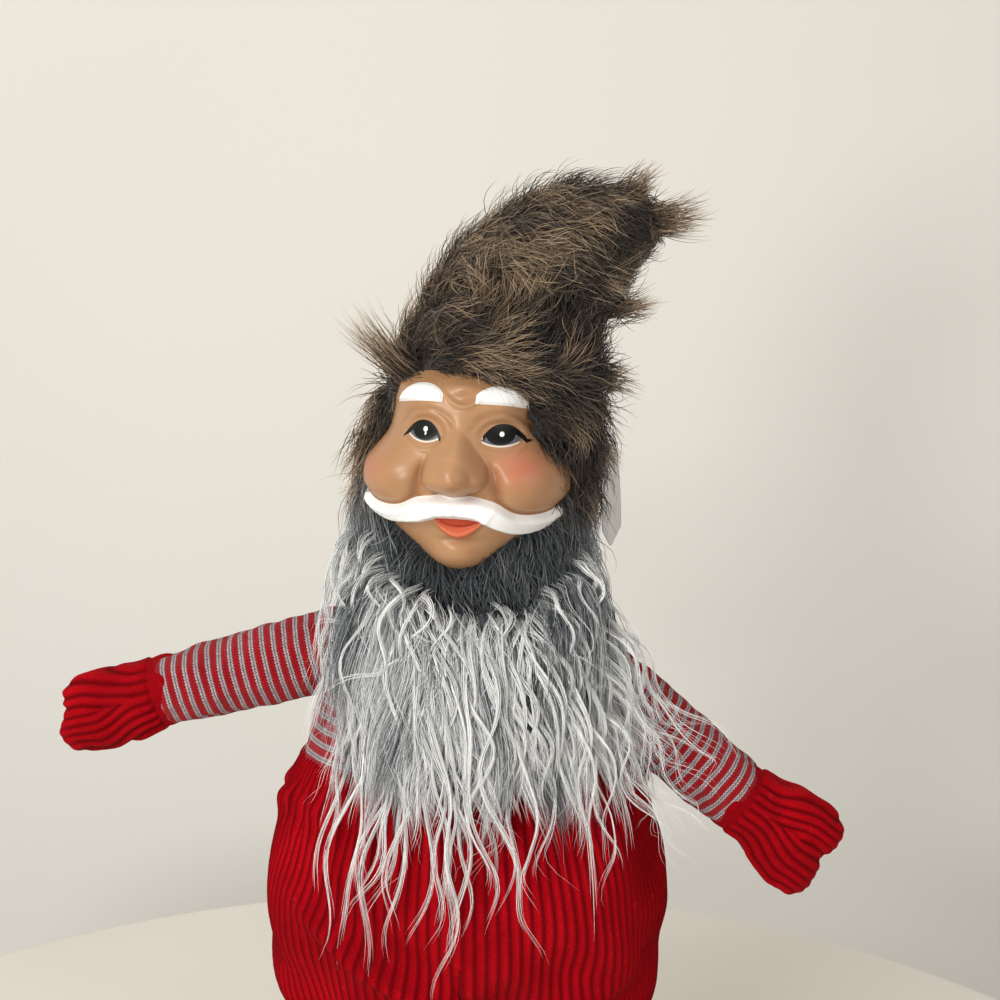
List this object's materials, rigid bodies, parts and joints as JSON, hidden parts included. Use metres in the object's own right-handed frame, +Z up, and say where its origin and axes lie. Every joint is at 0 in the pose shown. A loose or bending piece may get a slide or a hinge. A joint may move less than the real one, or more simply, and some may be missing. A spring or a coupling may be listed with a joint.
{
  "type": "standing gnome doll",
  "caption": "Standing soft gnome doll with a moulded face, long pile beard, tall bent pile hat, striped sleeves, corduroy mittens and trousers, and bendable arms.",
  "frame": {"origin": "on the floor, under the middle of the doll's outline", "axes": "+Z up, the doll faces -Y, its left hand points to +X"},
  "size_m": [0.3364, 0.138, 0.4603],
  "materials": {
    "corduroy": "matte",
    "striped_knit": "matte",
    "long_pile": "matte",
    "grey_pile": "matte",
    "brown_pile": "matte",
    "painted_face": "satin",
    "felt": "matte",
    "sole_rubber": "matte",
    "fibre_fill": "matte",
    "elastic": "matte",
    "pellets": "matte",
    "wire": "satin",
    "satin_label": "satin"
  },
  "bodies": {
    "torso": {"torso_stuffing": "fibre_fill", "shirt_torso": "striped_knit", "shoulder_wire": "wire", "trousers": "corduroy", "waist_elastic": "elastic", "trouser_leg_left": "corduroy", "trouser_leg_right": "corduroy", "leg_stuffing_left": "fibre_fill", "leg_stuffing_right": "fibre_fill", "ballast_bag_left": "pellets", "ballast_bag_right": "pellets", "ankle_elastic_left": "elastic", "ankle_elastic_right": "elastic", "boot_left": "felt", "boot_right": "felt", "boot_sole_left": "sole_rubber", "boot_sole_right": "sole_rubber", "beard_panel": "long_pile"},
    "head": {"head_stuffing": "fibre_fill", "face_mask": "painted_face", "fur_hood": "grey_pile", "hat_lower": "brown_pile", "hat_stuffing": "fibre_fill", "care_label": "satin_label"},
    "hat_tip": {"hat_upper": "brown_pile", "hat_tip_stuffing": "fibre_fill"},
    "arm_left": {"sleeve_left": "striped_knit", "arm_stuffing_left": "fibre_fill", "arm_wire_left": "wire"},
    "arm_right": {"sleeve_right": "striped_knit", "arm_stuffing_right": "fibre_fill", "arm_wire_right": "wire"},
    "hand_left": {"mitten_left": "corduroy", "mitten_stuffing_left": "fibre_fill", "hand_wire_left": "wire"},
    "hand_right": {"mitten_right": "corduroy", "mitten_stuffing_right": "fibre_fill", "hand_wire_right": "wire"}
  },
  "joints": [
    {"name": "head_turn", "type": "hinge", "parent": "torso", "child": "head", "pos_m": [0.009, 0.004, 0.2833], "axis": [0, 0, 1], "range_deg": [-25, 25]},
    {"name": "hat_bend", "type": "hinge", "parent": "head", "child": "hat_tip", "pos_m": [0.043, 0.004, 0.432], "axis": [0, 1, 0], "range_deg": [-40, 18]},
    {"name": "shoulder_left", "type": "hinge", "parent": "torso", "child": "arm_left", "pos_m": [0.0665, 0.004, 0.249], "axis": [0, -1, 0], "range_deg": [-10, 70]},
    {"name": "shoulder_right", "type": "hinge", "parent": "torso", "child": "arm_right", "pos_m": [-0.0525, 0.004, 0.2665], "axis": [0, 1, 0], "range_deg": [-35, 44]},
    {"name": "wrist_left", "type": "hinge", "parent": "arm_left", "child": "hand_left", "pos_m": [0.12242, 0.004, 0.20208], "axis": [0, -1, 0], "range_deg": [-25, 25]},
    {"name": "wrist_right", "type": "hinge", "parent": "arm_right", "child": "hand_right", "pos_m": [-0.12318, 0.004, 0.24822], "axis": [0, 1, 0], "range_deg": [-25, 25]}
  ]
}
